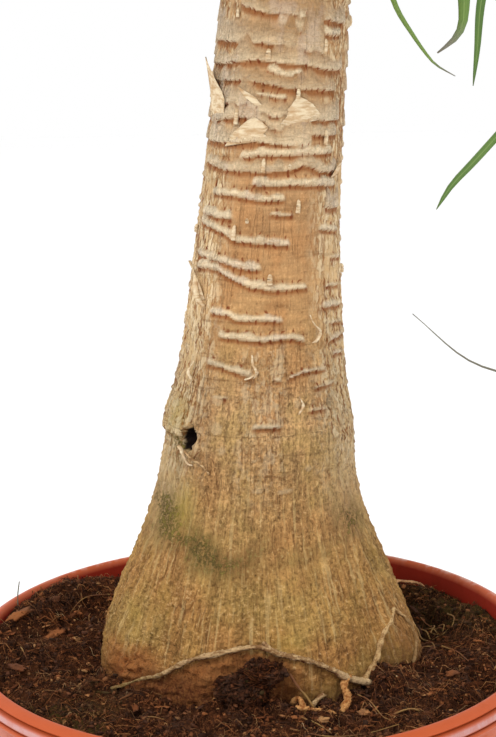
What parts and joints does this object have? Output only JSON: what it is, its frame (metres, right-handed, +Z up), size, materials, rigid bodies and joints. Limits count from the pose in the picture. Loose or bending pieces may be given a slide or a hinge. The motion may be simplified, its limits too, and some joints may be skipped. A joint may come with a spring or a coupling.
{
  "type": "potted plant",
  "caption": "Potted ponytail palm: swollen corky stem ringed with old leaf scars, a fountain of narrow arching leaves, and a round nursery pot of soil.",
  "frame": {"origin": "on the ground under the middle of the pot, which is where the pot's flat underside rests", "axes": "+Z up along the plant's height; -Y is the front, the side that the picture shows; +X is to the right as seen from the front"},
  "size_m": [0.9985, 0.7876, 1.454],
  "materials": {
    "pot": "terracotta-coloured moulded plastic, lightly worn, with a glossy rolled rim",
    "soil": "loose fibrous peat and coir, rough and matt",
    "bark": "rough corky tan bark with pale papery leaf scars and green-grey algae low down",
    "root": "dry grey-brown root skin",
    "leaf": "smooth leathery green blade, satin"
  },
  "bodies": {
    "root": {"pot": "pot", "soil": "soil", "stem": "bark", "dry_root": "root", "leaf_crown": "leaf"}
  },
  "joints": []
}
